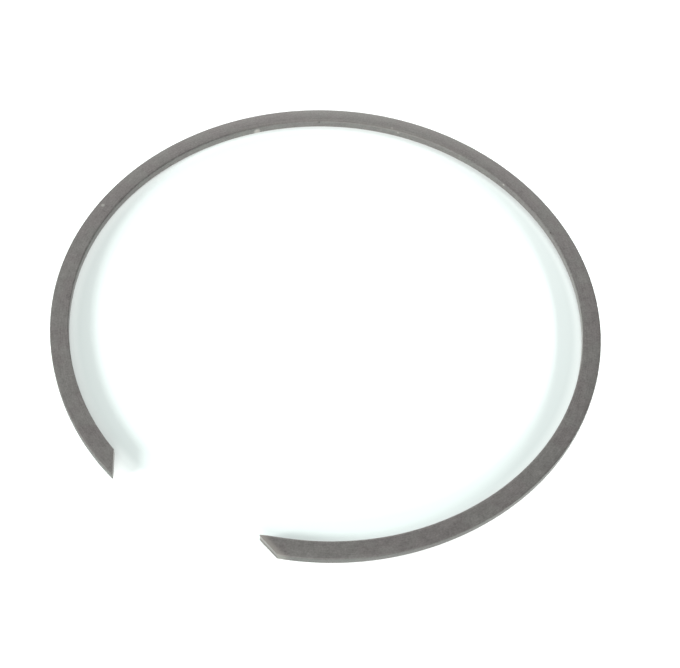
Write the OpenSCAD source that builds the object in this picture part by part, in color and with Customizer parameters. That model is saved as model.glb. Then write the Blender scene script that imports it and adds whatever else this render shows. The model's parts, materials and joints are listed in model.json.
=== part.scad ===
// Circlip retaining ring: an open ring of flat spring-steel wire, coiled on edge.
// It lies flat on its base face, its axis along Z, with the gap towards -Y.

/* [Ring] */
// Outside diameter of the free ring
outer_d = 120; // [60:1:200]
// Width of the flat wire, along the radius
wire_w = 4; // [2.5:0.1:6]
// Thickness of the flat wire, along the axis
wire_t = 2; // [1.2:0.1:3]
// Radius on the four long edges of the wire
edge_r = 0.3; // [0.1:0.05:0.8]

/* [Ends] */
// Angle of the free gap, between the middles of the two end cuts
gap_angle = 36.2; // [20:0.1:60]
// Lean of the left end's cut from the radius, counterclockwise towards the outer rim
left_lean = 50; // [30:1:60]
// Lean of the right end's cut, the same way
right_lean = 53; // [30:1:60]
// Radius worn on the left end's pointed corner, at the outer rim
left_tip_r = 0.15; // [0.1:0.05:0.5]
// Radius worn on the right end's pointed corner, at the inner rim
right_tip_r = 0.4; // [0.1:0.05:0.5]

/* [Hidden] */
$fn = 180;
outer_r = outer_d / 2;
inner_r = outer_r - wire_w;
mid_r = outer_r - wire_w / 2;
// The gap faces -Y, and the two ends lie half of it to each side
left_angle = 270 - gap_angle / 2;
right_angle = 270 + gap_angle / 2;
// How far the cutting shapes run past the middle of the wire, along the radius and the axis
past = wire_w;
// How far a worn tip's circle stands past the cut and the rim, so that it crosses both
lap = 0.0005;

// Directions at the angle a: out along the radius, and counterclockwise along the wire
function radial(a) = [cos(a), sin(a)];
function along(a) = [-sin(a), cos(a)];

// An end's cut at the angle a: its direction, and its normal on the counterclockwise side
function cut_dir(a, lean) = cos(lean) * radial(a) + sin(lean) * along(a);
function cut_normal(a, lean) = cos(lean) * along(a) - sin(lean) * radial(a);

// The point of a cut that lies s from the middle of the wire
function cut_point(a, lean, s) = mid_r * radial(a) + s * cut_dir(a, lean);

// Where a circle of radius r about the axis meets the line at offset d from a cut
function cut_meets(a, lean, d, r) =
    let (dir = cut_dir(a, lean), start = mid_r * radial(a) + d * cut_normal(a, lean), b = start * dir)
    start + (sqrt(b * b - start * start + r * r) - b) * dir;

// Section of the wire: a rectangle with four rounded corners, standing on the base face
module wire_section() {
    translate([inner_r + edge_r, 0]) square([wire_w - 2 * edge_r, wire_t]);
    translate([inner_r, edge_r]) square([wire_w, wire_t - 2 * edge_r]);
    for (r = [inner_r + edge_r, outer_r - edge_r], z = [edge_r, wire_t - edge_r])
        translate([r, z]) circle(edge_r);
}

// Plan of the gap: the two leaning cuts, joined well inside and well outside the ring
module gap_plan() {
    polygon([
        [0, -mid_r / 2],
        cut_point(left_angle, left_lean, -past / cos(left_lean)),
        cut_point(left_angle, left_lean, past / cos(left_lean)),
        [0, -mid_r * 1.5],
        cut_point(right_angle, right_lean, past / cos(right_lean)),
        cut_point(right_angle, right_lean, -past / cos(right_lean)),
    ]);
}

// What wears off a pointed corner: the wedge outside a circle of radius r at centre c,
// between the direction n to the cut and the direction q to the rim
module tip_waste(c, r, n, q) {
    difference() {
        polygon([c, c + 2 * r * n, c + 2 * r * (n + q) / (1 + n * q), c + 2 * r * q]);
        translate(c) circle(r);
    }
}

// The left end is pointed at the outer rim
module left_tip_waste() {
    inset = left_tip_r - lap;
    c = cut_meets(left_angle, left_lean, -inset, outer_r - inset);
    tip_waste(c, left_tip_r, cut_normal(left_angle, left_lean), c / norm(c));
}

// The right end is pointed at the inner rim
module right_tip_waste() {
    inset = right_tip_r - lap;
    c = cut_meets(right_angle, right_lean, inset, inner_r + inset);
    tip_waste(c, right_tip_r, -cut_normal(right_angle, right_lean), -c / norm(c));
}

// The ring: the wire's section turned about the axis, less the gap
module retaining_ring() {
    color([0.46, 0.45, 0.44]) difference() {
        rotate_extrude() wire_section();
        translate([0, 0, wire_t / 2 - past]) linear_extrude(2 * past) {
            gap_plan();
            left_tip_waste();
            right_tip_waste();
        }
    }
}

retaining_ring();
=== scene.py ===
import json
from math import acos, atan2, cos, exp, hypot, pi, radians, sin, sqrt, tau

import bmesh
import bpy
from mathutils import Matrix, Vector


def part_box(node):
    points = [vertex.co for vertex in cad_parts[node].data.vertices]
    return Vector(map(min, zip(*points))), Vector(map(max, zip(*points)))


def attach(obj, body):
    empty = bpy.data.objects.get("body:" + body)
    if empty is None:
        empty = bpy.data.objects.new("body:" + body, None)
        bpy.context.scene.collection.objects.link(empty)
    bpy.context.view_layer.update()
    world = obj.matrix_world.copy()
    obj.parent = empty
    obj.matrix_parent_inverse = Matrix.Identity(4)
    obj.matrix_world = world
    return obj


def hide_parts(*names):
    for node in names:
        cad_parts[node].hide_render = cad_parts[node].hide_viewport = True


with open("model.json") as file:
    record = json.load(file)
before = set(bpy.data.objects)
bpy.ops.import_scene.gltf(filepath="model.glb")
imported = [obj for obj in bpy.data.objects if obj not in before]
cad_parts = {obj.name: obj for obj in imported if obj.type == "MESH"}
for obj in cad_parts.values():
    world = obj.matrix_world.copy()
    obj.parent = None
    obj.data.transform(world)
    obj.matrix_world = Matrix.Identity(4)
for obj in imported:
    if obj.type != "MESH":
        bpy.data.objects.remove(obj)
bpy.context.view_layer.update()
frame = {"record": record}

MM = 0.001
scene = bpy.context.scene
scene.view_settings.view_transform = "Standard"


# Camera: in front of the ring and above it, looking down, as in the photograph.
# The focal length and the ring's centre are in pixels of the photograph's own frame.
PHOTO_W, PHOTO_H = 680, 668
FOCAL_PX = 1425.4
CENTRE_PX = (327.5, 309.9)
CAMERA_TURN = radians(26.17)
CAMERA_DROP = radians(55.01)
CAMERA_ROLL = radians(4.18)
CAMERA_DISTANCE = 311.75 * MM
SENSOR_MM = 36
CLIP_NEAR, CLIP_FAR = 0.01, 100

low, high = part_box("retaining_ring")
turn = Matrix.Rotation(CAMERA_TURN, 3, "Z")
aim = turn @ Matrix.Rotation(pi / 2 - CAMERA_DROP, 3, "X") @ Matrix.Rotation(CAMERA_ROLL, 3, "Z")
centre_seen = CAMERA_DISTANCE * Vector((
    (CENTRE_PX[0] - PHOTO_W / 2) / FOCAL_PX,
    (PHOTO_H / 2 - CENTRE_PX[1]) / FOCAL_PX,
    -1,
))
camera_data = bpy.data.cameras.new("camera")
camera_data.sensor_width = SENSOR_MM
camera_data.lens = FOCAL_PX / PHOTO_W * SENSOR_MM
camera_data.clip_start, camera_data.clip_end = CLIP_NEAR, CLIP_FAR
camera = bpy.data.objects.new("camera", camera_data)
camera.matrix_world = Matrix.Translation(Vector((0, 0, high.z)) - aim @ centre_seen) @ aim.to_4x4()
scene.collection.objects.link(camera)
scene.camera = camera


# The ring: one length of flat spring-steel wire with round edges, drawn, coiled on edge to
# a single open turn, sheared off on the slant at both ends, then phosphated and oiled.
mounts = {m["name"]: m for m in frame["record"]["mounts"]}
OUTER_R = mounts["outer_rim"]["dims"]["r_mm"] * MM
INNER_R = mounts["inner_rim"]["dims"]["r_mm"] * MM
WIRE_W = OUTER_R - INNER_R
WIRE_T = high.z - low.z
MID_R = (OUTER_R + INNER_R) / 2
EDGE_R = 0.3 * MM
GAP = radians(36.2)
LEFT_LEAN, RIGHT_LEAN = radians(50), radians(53)
LEFT_TIP_R, RIGHT_TIP_R = 0.15 * MM, 0.4 * MM
LEFT_END, RIGHT_END = radians(270) - GAP / 2, radians(270) + GAP / 2
# Cuts across the wire's round edges, flat faces and walls
EDGE_STEPS, FACE_CUTS, WALL_CUTS = 8, 11, 3
# Steps along the wire, and the angle over which a cut's slant fades into square sections
LONG_STEP, FINE_STEP = 0.5 * MM, 0.08 * MM
SLANT_FADE = radians(14)
# The flat faces are slightly crowned: they fall away to both sides of a line at this share
# of the width, by this much at one whole width from it
CROWN_LINE, CROWN_FALL = 0.35, 0.28 * MM
# A sprung coil is not quite round: how far it stands off the circle, at equal steps along it
OUT_OF_ROUND = [mm * MM for mm in (-0.11, -0.12, 0.03, -0.02, -0.03, 0.11, 0.06, -0.01, 0.01, 0.33)]
# Shearing draws the right tip's inner rim outwards, by this much, dying away over this length
TIP_DRAW, TIP_REACH = 0.35 * MM, 2 * MM
# The nick in the inner wall: its distance along the wire, height, radius and depth
NICK_ALONG, NICK_UP, NICK_R, NICK_DEEP = 211.9 * MM, 0.7 * MM, 0.45 * MM, 0.12 * MM
# Points closer than this are one point, and a bend sharper than this shows as an edge
MERGE_GAP, SHARP_BEND = 0.0001 * MM, radians(35)


def cut_axes(angle, lean):
    """The direction of an end's cut in plan, and its normal on the counterclockwise side."""
    out, on = Vector((cos(angle), sin(angle))), Vector((-sin(angle), cos(angle)))
    return cos(lean) * out + sin(lean) * on, cos(lean) * on - sin(lean) * out


def cut_meets(angle, lean, offset, radius):
    """Where a circle about the ring's axis meets the line at an offset from the cut."""
    way, normal = cut_axes(angle, lean)
    start = MID_R * Vector((cos(angle), sin(angle))) + offset * normal
    b = start.dot(way)
    return start + (sqrt(b * b - start.length_squared + radius * radius) - b) * way


def turned(point, angle):
    """The angle of a point in plan, counted from the given angle."""
    return (atan2(point.y, point.x) - angle + pi) % tau - pi


def end_shift(angle, lean, side, tip_r, radius):
    """How far round from its angle an end's cut lies at this radius, with its worn tip.

    side is -1 where the wire lies clockwise of the cut, and 1 where it lies the other way."""
    shift = turned(cut_meets(angle, lean, 0, radius), angle)
    rim = OUTER_R - tip_r if side < 0 else INNER_R + tip_r
    tip = cut_meets(angle, lean, side * tip_r, rim)
    touch = tip - side * tip_r * cut_axes(angle, lean)[1]
    if (radius - touch.length) * -side <= 0:
        return shift
    spread = (tip.length_squared + radius * radius - tip_r * tip_r) / (2 * tip.length * radius)
    return turned(tip, angle) - side * acos(min(1, spread))


def faded(share):
    """A smooth fall from 1 to 0 as the share goes from 0 to 1."""
    share = min(1, max(0, share))
    return 1 - share * share * (3 - 2 * share)


# The wire's section, standing on the base face at the right end
bm = bmesh.new()
bmesh.ops.create_grid(bm, x_segments=1, y_segments=1, size=0.5)
bmesh.ops.scale(bm, vec=(WIRE_W, WIRE_T, 1), verts=bm.verts)
bmesh.ops.rotate(bm, cent=(0, 0, 0), matrix=Matrix.Rotation(pi / 2, 3, "X"), verts=bm.verts)
bmesh.ops.translate(bm, vec=(MID_R, 0, low.z + WIRE_T / 2), verts=bm.verts)
bmesh.ops.bevel(
    bm, geom=bm.verts[:], offset=EDGE_R, offset_type="OFFSET", segments=EDGE_STEPS,
    profile=0.5, affect="VERTICES", material=-1,
)
bmesh.ops.delete(bm, geom=bm.faces[:], context="FACES_ONLY")
face_edges = [e for e in bm.edges if e.calc_length() > WIRE_T]
wall_edges = [e for e in bm.edges if WIRE_T > e.calc_length() > WIRE_T / 4]
bmesh.ops.subdivide_edges(bm, edges=face_edges, cuts=FACE_CUTS)
bmesh.ops.subdivide_edges(bm, edges=wall_edges, cuts=WALL_CUTS)
bmesh.ops.rotate(bm, cent=(0, 0, 0), matrix=Matrix.Rotation(RIGHT_END, 3, "Z"), verts=bm.verts)

# The section turned round to the left end, in finer steps at the nick
run, section = 0, bm.edges[:]
for reach, step in (
    (NICK_ALONG - 2 * NICK_R, LONG_STEP), (NICK_ALONG + 2 * NICK_R, FINE_STEP),
    ((tau - GAP) * MID_R, LONG_STEP),
):
    spun = bmesh.ops.spin(
        bm, geom=section, cent=(0, 0, 0), axis=(0, 0, 1), dvec=(0, 0, 0),
        angle=(reach - run) / MID_R, steps=round((reach - run) / step),
        use_merge=False, use_duplicate=False,
    )
    run, section = reach, [e for e in spun["geom_last"] if isinstance(e, bmesh.types.BMEdge)]
bmesh.ops.remove_doubles(bm, verts=bm.verts, dist=MERGE_GAP)

# The slanting ends, the nick, and each point's place on the wire: mm along, across and up
wire_layer = bm.verts.layers.float_vector.new("wire")
for v in bm.verts:
    radius = hypot(v.co.x, v.co.y)
    run = (atan2(v.co.y, v.co.x) - RIGHT_END + GAP / 2) % tau - GAP / 2
    rest = tau - GAP - run
    if radius < MID_R:
        radius += TIP_DRAW * exp(-run * MID_R / TIP_REACH) * (MID_R - radius) / (MID_R - INNER_R)
    if run < SLANT_FADE:
        run += end_shift(RIGHT_END, RIGHT_LEAN, 1, RIGHT_TIP_R, radius) * faded(run / SLANT_FADE)
    if rest < SLANT_FADE:
        run += end_shift(LEFT_END, LEFT_LEAN, -1, LEFT_TIP_R, radius) * faded(rest / SLANT_FADE)
    v[wire_layer] = (run * MID_R / MM, (radius - MID_R) / MM, v.co.z / MM)
    share = (radius - INNER_R) / WIRE_W
    mid_z = low.z + WIRE_T / 2
    fall = 2 * CROWN_FALL / WIRE_T * (share - CROWN_LINE) ** 2
    v.co.z = mid_z + (v.co.z - mid_z) * (1 - fall)
    away = hypot(run * MID_R - NICK_ALONG, v.co.z - NICK_UP)
    if radius < MID_R:
        radius += NICK_DEEP * faded(away / NICK_R) * faded((radius - INNER_R) / EDGE_R)
    stage = min(1, max(0, run / (tau - GAP))) * (len(OUT_OF_ROUND) - 1)
    step = min(int(stage), len(OUT_OF_ROUND) - 2)
    start, end = OUT_OF_ROUND[step], OUT_OF_ROUND[step + 1]
    radius += end + (start - end) * faded(stage - step)
    v.co.x, v.co.y = radius * cos(RIGHT_END + run), radius * sin(RIGHT_END + run)

# The sheared end faces, each a strip of four-sided faces from rim to rim
bmesh.ops.holes_fill(bm, edges=[e for e in bm.edges if e.is_boundary], sides=0)
for cap in [f for f in bm.faces if len(f.verts) > 4]:
    cap.material_index = 1
    pairs = {}
    for v in cap.verts:
        pairs.setdefault(round(v[wire_layer].y, 4), []).append(v)
    for pair in pairs.values():
        if len(pair) == 2:
            bmesh.ops.connect_verts(bm, verts=pair)
bmesh.ops.recalc_face_normals(bm, faces=bm.faces)
for f in bm.faces:
    f.smooth = True
for e in bm.edges:
    e.smooth = e.calc_face_angle(0) < SHARP_BEND
mesh = bpy.data.meshes.new("spring_ring")
bm.to_mesh(mesh)
bm.free()
ring = bpy.data.objects.new("spring_ring", mesh)
scene.collection.objects.link(ring)
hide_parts("retaining_ring")
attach(ring, "root")


def linear(code):
    """An sRGB hex colour as linear red, green, blue and alpha."""
    parts = [int(code[i : i + 2], 16) / 255 for i in (1, 3, 5)]
    return [c / 12.92 if c <= 0.04045 else ((c + 0.055) / 1.055) ** 2.4 for c in parts] + [1]


def add_node(tree, kind, settings={}, **inputs):
    """Adds a node with its settings. Each input is a value or an output that feeds it."""
    node = tree.nodes.new(kind)
    for name, value in settings.items():
        setattr(node, name, value)
    for name, value in inputs.items():
        socket = node.inputs[int(name[1:]) if name[1:].isdigit() else name.replace("_", " ")]
        if isinstance(value, bpy.types.NodeSocket):
            tree.links.new(value, socket)
        else:
            socket.default_value = value
    return node


# Phosphated and oiled steel: a thin coat of grey crystals on drawn wire, with a dull
# half-gloss. It is mottled in two close greys and paler where the outer edges are worn thin,
# with painted highlights in the same pale colour on part of the inner edges and next to the right cut.
COAT_WARM, COAT_COOL, COAT_WORN_AND_HIGHLIT = "#817e7c", "#7f7e7b", "#a5a29c"
# How many features of each pattern go to a millimetre. Along the wire the lines have this
# share of theirs.
MOTTLE_PER_MM, PATCH_PER_MM, GRAIN_PER_MM, LINE_PER_MM = 0.2, 0.8, 2.5, 5.0
LINE_STRETCH = 0.04
# How far the mottle, patches, grain and drawing lines change the coat's brightness
MOTTLE_DEPTH, PATCH_DEPTH, GRAIN_DEPTH, LINE_DEPTH = 0.3, 0.42, 0.8, 0.4
# The mottle's values between which the warm grey turns into the cool one, and the patches'
# values between which the first roughness turns into the second
HUE_TURNS, GLOSS_TURNS, COAT_ROUGH = (0.4, 0.6), (0.3, 0.7), (0.4, 0.5)
# The coat's gain in brightness per mm towards the outer rim
OUTWARD_PALER = 0.03
# Rubbed outer edges: where the coat starts to thin and where it is thinnest, in mm across the
# wire and off its mid-height, and how much of the pale colour shows there. The painted highlight
# on the inner edges uses the same heights.
RUB_ACROSS, RUB_AND_HIGHLIGHT_UP, RUB_PALER = (1.6, 2.0), (0.5, 0.95), 0.08
# A painted highlight on the inner edges, paler only about the middle of the wire's length, between
# these places in mm along: each pair is where it has not started yet and where it is full
INNER_HIGHLIGHT_ACROSS, INNER_HIGHLIGHT_PALER = (-0.9, -1.75), 0.3
INNER_HIGHLIGHT_FROM, INNER_HIGHLIGHT_TO = (147, 178), (226, 202)
# A painted highlight on the wire's face next to the right cut: how much of the pale colour
# shows at the cut, dying away over this many mm
CUT_HIGHLIGHT, CUT_HIGHLIGHT_REACH = 0.9, 1.5
RELIEF, RELIEF_STRENGTH = 0.01 * MM, 0.5
# Spots on the coat: mm along, across and up, radius in mm, and colour. The colour is full
# out to a share of the radius.
SPOT_CORE = 1 / 3
SPOTS = (
    ((256.1, 0.7, 2.0), 0.6, "#a0a09b"),
    ((145.8, -2.0, 1.6), 0.35, "#aeaca6"),
    ((178.0, -1.45, 2.0), 0.35, "#a09d98"),
    ((176.3, -2.0, 1.5), 0.35, "#a09d98"),
    ((196.2, -2.0, 1.7), 0.35, "#5f5d59"),
    ((127.7, -1.8, 2.0), 0.3, "#5f5d59"),
    ((NICK_ALONG / MM, -1.9, NICK_UP / MM), 1.1, "#aba7a2"),
)
steel = bpy.data.materials.new("phosphated spring steel")
steel.use_nodes = True
tree = steel.node_tree
shader = tree.nodes["Principled BSDF"]
wire = add_node(tree, "ShaderNodeAttribute", {"attribute_name": "wire"}).outputs["Vector"]
mottle = add_node(
    tree, "ShaderNodeTexNoise", Vector=wire, Scale=MOTTLE_PER_MM, Detail=3.0, Roughness=0.6,
).outputs["Fac"]
patch = add_node(
    tree, "ShaderNodeTexNoise", Vector=wire, Scale=PATCH_PER_MM, Detail=2.0, Roughness=0.5,
).outputs["Fac"]
grain = add_node(
    tree, "ShaderNodeTexNoise", Vector=wire, Scale=GRAIN_PER_MM, Detail=3.0, Roughness=0.65,
).outputs["Fac"]
drawn = add_node(
    tree, "ShaderNodeVectorMath", {"operation": "MULTIPLY"}, _0=wire, _1=(LINE_STRETCH, 1, 1),
).outputs["Vector"]
lines = add_node(
    tree, "ShaderNodeTexNoise", Vector=drawn, Scale=LINE_PER_MM, Detail=2.0,
).outputs["Fac"]
hue = add_node(
    tree, "ShaderNodeMapRange", {"interpolation_type": "SMOOTHSTEP"},
    Value=mottle, From_Min=HUE_TURNS[0], From_Max=HUE_TURNS[1],
).outputs["Result"]
coat = add_node(
    tree, "ShaderNodeMix", {"data_type": "RGBA"}, Factor=hue,
    _6=linear(COAT_WARM), _7=linear(COAT_COOL),
).outputs[2]
on_wire = add_node(tree, "ShaderNodeSeparateXYZ", Vector=wire).outputs
# Each pattern is one half on average, which leaves the coat's average brightness alone
bright = 1 - (MOTTLE_DEPTH + PATCH_DEPTH + GRAIN_DEPTH + LINE_DEPTH) / 2
for pattern, depth in (
    (mottle, MOTTLE_DEPTH), (patch, PATCH_DEPTH), (grain, GRAIN_DEPTH), (lines, LINE_DEPTH),
    (on_wire["Y"], OUTWARD_PALER),
):
    bright = add_node(
        tree, "ShaderNodeMath", {"operation": "MULTIPLY_ADD"}, _0=pattern, _1=depth, _2=bright,
    ).outputs[0]
coat = add_node(tree, "ShaderNodeHueSaturation", Color=coat, Value=bright).outputs["Color"]
off_middle = add_node(
    tree, "ShaderNodeMath", {"operation": "SUBTRACT"}, _0=on_wire["Z"], _1=WIRE_T / 2 / MM,
).outputs[0]
off_middle = add_node(tree, "ShaderNodeMath", {"operation": "ABSOLUTE"}, _0=off_middle).outputs[0]
# First pale outer edges from wear, then a painted highlight on the inner edges about the middle of the
# length
for rub_and_highlight, ranges in (
    (RUB_PALER, ((on_wire["Y"], RUB_ACROSS), (off_middle, RUB_AND_HIGHLIGHT_UP))),
    (INNER_HIGHLIGHT_PALER, (
        (on_wire["Y"], INNER_HIGHLIGHT_ACROSS), (off_middle, RUB_AND_HIGHLIGHT_UP),
        (on_wire["X"], INNER_HIGHLIGHT_FROM), (on_wire["X"], INNER_HIGHLIGHT_TO),
    )),
):
    for place, (start, end) in ranges:
        worn_and_highlit = add_node(
            tree, "ShaderNodeMapRange", {"interpolation_type": "SMOOTHSTEP"},
            Value=place, From_Min=start, From_Max=end,
        ).outputs["Result"]
        rub_and_highlight = add_node(
            tree, "ShaderNodeMath", {"operation": "MULTIPLY"}, _0=worn_and_highlit, _1=rub_and_highlight,
        ).outputs[0]
    coat = add_node(
        tree, "ShaderNodeMix", {"data_type": "RGBA"}, Factor=rub_and_highlight, _6=coat, _7=linear(COAT_WORN_AND_HIGHLIT),
    ).outputs[2]
# A painted highlight along the right cut, fading away from it
from_cut = add_node(
    tree, "ShaderNodeVectorMath", {"operation": "DOT_PRODUCT"},
    _0=wire, _1=(cos(RIGHT_LEAN), -sin(RIGHT_LEAN), 0),
).outputs["Value"]
cut_highlight = add_node(
    tree, "ShaderNodeMapRange", {"interpolation_type": "SMOOTHSTEP"},
    Value=from_cut, From_Min=CUT_HIGHLIGHT_REACH, From_Max=0, To_Max=CUT_HIGHLIGHT,
).outputs["Result"]
coat = add_node(
    tree, "ShaderNodeMix", {"data_type": "RGBA"}, Factor=cut_highlight, _6=coat, _7=linear(COAT_WORN_AND_HIGHLIT),
).outputs[2]
for spot, spot_r, colour in SPOTS:
    off = add_node(
        tree, "ShaderNodeVectorMath", {"operation": "DISTANCE"}, _0=wire, _1=spot,
    ).outputs["Value"]
    cover = add_node(
        tree, "ShaderNodeMapRange", {"interpolation_type": "SMOOTHSTEP"},
        Value=off, From_Min=spot_r, From_Max=spot_r * SPOT_CORE,
    ).outputs["Result"]
    coat = add_node(
        tree, "ShaderNodeMix", {"data_type": "RGBA"}, Factor=cover, _6=coat, _7=linear(colour),
    ).outputs[2]
tree.links.new(coat, shader.inputs["Base Color"])
dull = add_node(
    tree, "ShaderNodeMapRange", Value=patch, From_Min=GLOSS_TURNS[0], From_Max=GLOSS_TURNS[1],
    To_Min=COAT_ROUGH[0], To_Max=COAT_ROUGH[1],
).outputs["Result"]
tree.links.new(dull, shader.inputs["Roughness"])
shader.inputs["Metallic"].default_value = 1
height = add_node(tree, "ShaderNodeMath", {"operation": "ADD"}, _0=grain, _1=lines).outputs[0]
relief = add_node(
    tree, "ShaderNodeBump", Height=height, Strength=RELIEF_STRENGTH, Distance=RELIEF,
).outputs["Normal"]
tree.links.new(relief, shader.inputs["Normal"])
ring.data.materials.append(steel)

# Sheared end: the same steel under a thinner coat, burnished by the blade in its upper
# part and torn below, with marks straight down it
BURNISHED, TORN = "#8e8b87", "#86837f"
SHEAR_PER_MM, SHEAR_STRETCH, BURNISHED_ABOVE, TEAR_FADE = 5.0, 0.1, 1.1, 0.3
# What the marks do to the brightness, how rough the two parts are, and the marks' relief
MARK_TURNS, MARK_BRIGHT, SHEAR_ROUGH = (0.3, 0.7), (0.88, 1.12), (0.38, 0.6)
MARK_RELIEF, MARK_STRENGTH = 0.03 * MM, 0.6
sheared = bpy.data.materials.new("sheared spring steel")
sheared.use_nodes = True
tree = sheared.node_tree
shader = tree.nodes["Principled BSDF"]
wire = add_node(tree, "ShaderNodeAttribute", {"attribute_name": "wire"}).outputs["Vector"]
down = add_node(
    tree, "ShaderNodeVectorMath", {"operation": "MULTIPLY"}, _0=wire, _1=(1, 1, SHEAR_STRETCH),
).outputs["Vector"]
marks = add_node(
    tree, "ShaderNodeTexNoise", Vector=down, Scale=SHEAR_PER_MM, Detail=3.0,
).outputs["Fac"]
up = add_node(tree, "ShaderNodeSeparateXYZ", Vector=wire).outputs["Z"]
torn = add_node(
    tree, "ShaderNodeMapRange", {"interpolation_type": "SMOOTHSTEP"},
    Value=up, From_Min=BURNISHED_ABOVE, From_Max=BURNISHED_ABOVE - TEAR_FADE,
).outputs["Result"]
colour = add_node(
    tree, "ShaderNodeMix", {"data_type": "RGBA"}, Factor=torn,
    _6=linear(BURNISHED), _7=linear(TORN),
).outputs[2]
bright = add_node(
    tree, "ShaderNodeMapRange", Value=marks, From_Min=MARK_TURNS[0], From_Max=MARK_TURNS[1],
    To_Min=MARK_BRIGHT[0], To_Max=MARK_BRIGHT[1],
).outputs["Result"]
colour = add_node(tree, "ShaderNodeHueSaturation", Color=colour, Value=bright).outputs["Color"]
tree.links.new(colour, shader.inputs["Base Color"])
dull = add_node(
    tree, "ShaderNodeMapRange", Value=torn, To_Min=SHEAR_ROUGH[0], To_Max=SHEAR_ROUGH[1],
).outputs["Result"]
tree.links.new(dull, shader.inputs["Roughness"])
shader.inputs["Metallic"].default_value = 1
relief = add_node(
    tree, "ShaderNodeBump", Height=marks, Strength=MARK_STRENGTH, Distance=MARK_RELIEF,
).outputs["Normal"]
tree.links.new(relief, shader.inputs["Normal"])
ring.data.materials.append(sheared)


# Floor: a flat sheet of white paper under the ring. It is a pale grey that takes the ring's
# shadows, and a glow that only the camera and the metal see makes it white in the picture.
# This glow is painted light and uneven: strongest outside the ring, where it washes out the
# ring's shadows, with a brighter strip at the inner rim, more in the middle and a slope to one side.
PAPER, PAPER_GLOW = "#aab2b0", "#fffdfb"
FLOOR_SIZE, FLOOR_BELOW = 3, 0.01 * MM
# The glow inside the ring, just outside it, and from this many outer radii away
GLOW_INSIDE, GLOW_OUTSIDE, GLOW_FAR, FAR_RADII = 0.05, 0.5, 1.0, 3
# More glow towards the inner rim, over a strip of this width
GLOW_RIM, RIM_STRIP = 0.17, 2.4 * MM
# More glow in the middle: all of it inside the first radius, and none from the second on
GLOW_MIDDLE, MIDDLE_R, MIDDLE_FADE = 0.25, 43 * MM, 51 * MM
# The glow grows in this direction, by this much from the ring's axis to its inner rim
GLOW_TOWARDS, GLOW_TILT = radians(125), 0.07
# Painted light that only the metal's reflections see: the glow at the wire's foot, from this far
# away, and less outside the ring. It grows in a direction of its own.
FOOT_IN_METAL, FLOOR_IN_METAL, FOOT_FADE, LESS_OUTSIDE = 0.8, 0.36, 2 * MM, 0.16
METAL_TOWARDS, METAL_TILT = radians(50), 0.2
bm = bmesh.new()
bmesh.ops.create_grid(bm, x_segments=1, y_segments=1, size=FLOOR_SIZE)
floor_mesh = bpy.data.meshes.new("floor")
bm.to_mesh(floor_mesh)
bm.free()
floor = bpy.data.objects.new("floor", floor_mesh)
floor.location.z = low.z - FLOOR_BELOW
scene.collection.objects.link(floor)
paper = bpy.data.materials.new("white paper")
paper.use_nodes = True
tree = paper.node_tree
sheet = tree.nodes["Principled BSDF"]
sheet.inputs["Base Color"].default_value = linear(PAPER)
sheet.inputs["Roughness"].default_value = 1
sheet.inputs["Specular IOR Level"].default_value = 0
path = add_node(tree, "ShaderNodeLightPath").outputs
seen = add_node(tree, "ShaderNodeMath", {"operation": "MAXIMUM"},
                _0=path["Is Camera Ray"], _1=path["Is Transmission Ray"]).outputs[0]
place = add_node(tree, "ShaderNodeTexCoord").outputs["Object"]


def tilted(towards, rise):
    """A glow that grows along a direction in plan, by the rise on each side of the axis."""
    forth = add_node(tree, "ShaderNodeVectorMath", {"operation": "DOT_PRODUCT"}, _0=place,
                     _1=(cos(towards), sin(towards), 0)).outputs["Value"]
    return add_node(tree, "ShaderNodeMapRange", Value=forth, From_Min=-INNER_R, From_Max=INNER_R,
                    To_Min=-rise, To_Max=rise).outputs["Result"]


reach = add_node(tree, "ShaderNodeVectorMath", {"operation": "LENGTH"}, _0=place).outputs["Value"]
near = add_node(tree, "ShaderNodeMapRange", Value=reach, From_Min=INNER_R, From_Max=OUTER_R,
                To_Min=GLOW_INSIDE, To_Max=GLOW_OUTSIDE).outputs["Result"]
far = add_node(tree, "ShaderNodeMapRange", Value=reach, From_Min=OUTER_R,
               From_Max=FAR_RADII * OUTER_R, To_Max=GLOW_FAR - GLOW_OUTSIDE).outputs["Result"]
rim = add_node(tree, "ShaderNodeMapRange", {"interpolation_type": "SMOOTHSTEP"}, Value=reach,
               From_Min=INNER_R - RIM_STRIP, From_Max=INNER_R, To_Max=GLOW_RIM).outputs["Result"]
middle = add_node(tree, "ShaderNodeMapRange", Value=reach, From_Min=MIDDLE_R,
                  From_Max=MIDDLE_FADE, To_Min=GLOW_MIDDLE, To_Max=0).outputs["Result"]
glow = near
for part in (far, rim, middle, tilted(GLOW_TOWARDS, GLOW_TILT)):
    glow = add_node(tree, "ShaderNodeMath", {"operation": "ADD"}, _0=glow, _1=part).outputs[0]
glow = add_node(tree, "ShaderNodeMath", {"operation": "MULTIPLY"}, _0=seen, _1=glow).outputs[0]
foot = add_node(tree, "ShaderNodeMath", {"operation": "SUBTRACT"}, _0=reach, _1=MID_R).outputs[0]
foot = add_node(tree, "ShaderNodeMath", {"operation": "ABSOLUTE"}, _0=foot).outputs[0]
mirrored = add_node(tree, "ShaderNodeMapRange", Value=foot,
                    From_Min=WIRE_W / 2, From_Max=WIRE_W / 2 + FOOT_FADE,
                    To_Min=FOOT_IN_METAL, To_Max=FLOOR_IN_METAL).outputs["Result"]
outside = add_node(tree, "ShaderNodeMapRange", Value=reach, From_Min=INNER_R, From_Max=OUTER_R,
                   To_Max=-LESS_OUTSIDE).outputs["Result"]
for part in (outside, tilted(METAL_TOWARDS, METAL_TILT)):
    mirrored = add_node(tree, "ShaderNodeMath", {"operation": "ADD"}, _0=mirrored, _1=part).outputs[0]
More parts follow.
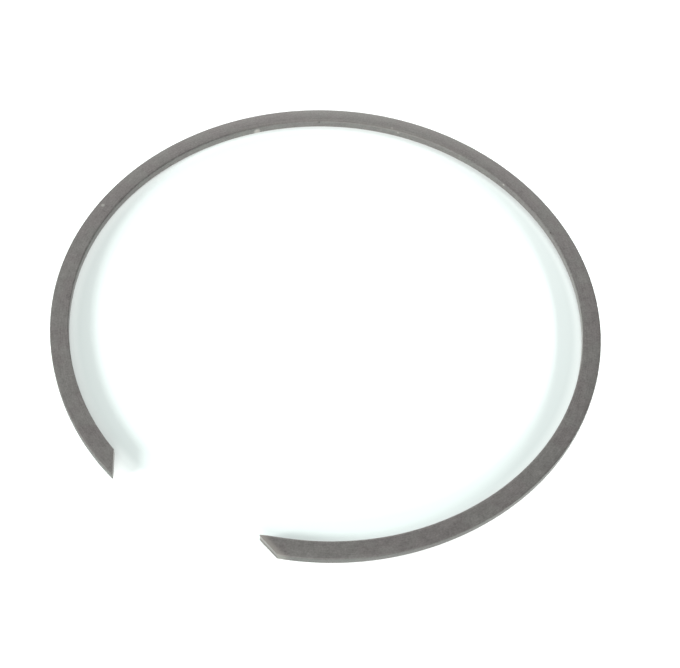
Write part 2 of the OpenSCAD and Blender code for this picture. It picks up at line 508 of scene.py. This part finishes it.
glow = add_node(tree, "ShaderNodeMath", {"operation": "MULTIPLY_ADD"},
                _0=path["Is Glossy Ray"], _1=mirrored, _2=glow).outputs[0]
tree.links.new(glow, sheet.inputs["Emission Strength"])
sheet.inputs["Emission Color"].default_value = linear(PAPER_GLOW)
floor.data.materials.append(paper)


# Light: a pale room with a bright backdrop behind the ring and more light overhead and in
# front, which the metal mirrors. The camera itself sees plain white past the floor.
ROOM, BACKDROP = 0.63, 2.32
# The room's light falls by this much to the right and grows as much to the left. It grows
# overhead and in front too, where the right side gets only a share.
RIGHT_LESS, FRONT_MORE, RIGHT_SHARE = 0.3, 0.6, 0.4
# Where the backdrop starts and is full: up, away and aside, as parts of a unit vector
BACKDROP_UP, BACKDROP_AWAY, BACKDROP_ASIDE = (0.8, 0.65), (0.0, 0.35), (0.455, 0.03)
# Where the light overhead and in front starts and is full: away and to the right
FRONT_AWAY, FRONT_RIGHT = (0.35, -0.1), (0.45, 0.05)
world = bpy.data.worlds.new("studio")
world.use_nodes = True
scene.world = world
tree = world.node_tree
way = add_node(tree, "ShaderNodeTexCoord").outputs["Generated"]
way = add_node(tree, "ShaderNodeVectorRotate", {"rotation_type": "Z_AXIS"},
               Vector=way, Angle=-CAMERA_TURN).outputs[0]
way = add_node(tree, "ShaderNodeSeparateXYZ", Vector=way).outputs
aside = add_node(tree, "ShaderNodeMath", {"operation": "ABSOLUTE"}, _0=way["X"]).outputs[0]


def rising(part, turns, to_min=0, to_max=1):
    """A smooth change from one value to another as a part of the direction turns over."""
    return add_node(tree, "ShaderNodeMapRange", {"interpolation_type": "SMOOTHSTEP"}, Value=part,
                    From_Min=turns[0], From_Max=turns[1], To_Min=to_min, To_Max=to_max).outputs["Result"]


backdrop = rising(way["Z"], BACKDROP_UP)
for part in (rising(way["Y"], BACKDROP_AWAY), rising(aside, BACKDROP_ASIDE)):
    backdrop = add_node(tree, "ShaderNodeMath", {"operation": "MULTIPLY"}, _0=backdrop, _1=part).outputs[0]
front_more = rising(way["X"], FRONT_RIGHT, RIGHT_SHARE * FRONT_MORE, FRONT_MORE)
room = add_node(tree, "ShaderNodeMath", {"operation": "MULTIPLY_ADD"},
                _0=rising(way["Y"], FRONT_AWAY), _1=front_more, _2=ROOM).outputs[0]
room = add_node(tree, "ShaderNodeMath", {"operation": "MULTIPLY_ADD"},
                _0=way["X"], _1=-RIGHT_LESS, _2=room).outputs[0]
glow = add_node(tree, "ShaderNodeMix", {"data_type": "FLOAT"},
                Factor=backdrop, A=room, B=BACKDROP).outputs[0]
path = add_node(tree, "ShaderNodeLightPath").outputs
seen = add_node(tree, "ShaderNodeMath", {"operation": "MAXIMUM"},
                _0=path["Is Camera Ray"], _1=path["Is Transmission Ray"]).outputs[0]
glow = add_node(tree, "ShaderNodeMix", {"data_type": "FLOAT"}, Factor=seen, A=glow, B=1.0).outputs[0]
background = tree.nodes["Background"]
tree.links.new(glow, background.inputs["Strength"])
background.inputs["Color"].default_value = (1, 1, 1, 1)

# Four soft lamps light the paper, and the metal doesn't mirror them. The low ones at the
# front left and at the right throw the two bands of shadow inside the ring, the weak one in
# front the thin band by the near wire, and the one high behind evens out the paper. Each has
# its place to the right, away and up as the camera sees it, its two widths and its watts.
LAMPS = {
    "lamp_left": ((-210 * MM, -108 * MM, 56 * MM), (80 * MM, 45 * MM), 1.3),
    "lamp_right": ((150 * MM, 0, 30 * MM), (100 * MM, 18 * MM), 0.39),
    "lamp_front": ((-40 * MM, -150 * MM, 75 * MM), (90 * MM, 50 * MM), 0.105),
    "lamp_back": ((60 * MM, 150 * MM, 200 * MM), (120 * MM, 120 * MM), 0.415),
}
for name, (place, size, watts) in LAMPS.items():
    data = bpy.data.lights.new(name, "AREA")
    data.shape, data.size, data.size_y, data.energy = "ELLIPSE", size[0], size[1], watts
    lamp = bpy.data.objects.new(name, data)
    place = turn @ Vector(place)
    face = place.to_track_quat("Z", "Y").to_matrix().to_4x4()
    lamp.matrix_world = Matrix.Translation(place) @ face
    lamp.visible_camera = lamp.visible_glossy = False
    scene.collection.objects.link(lamp)
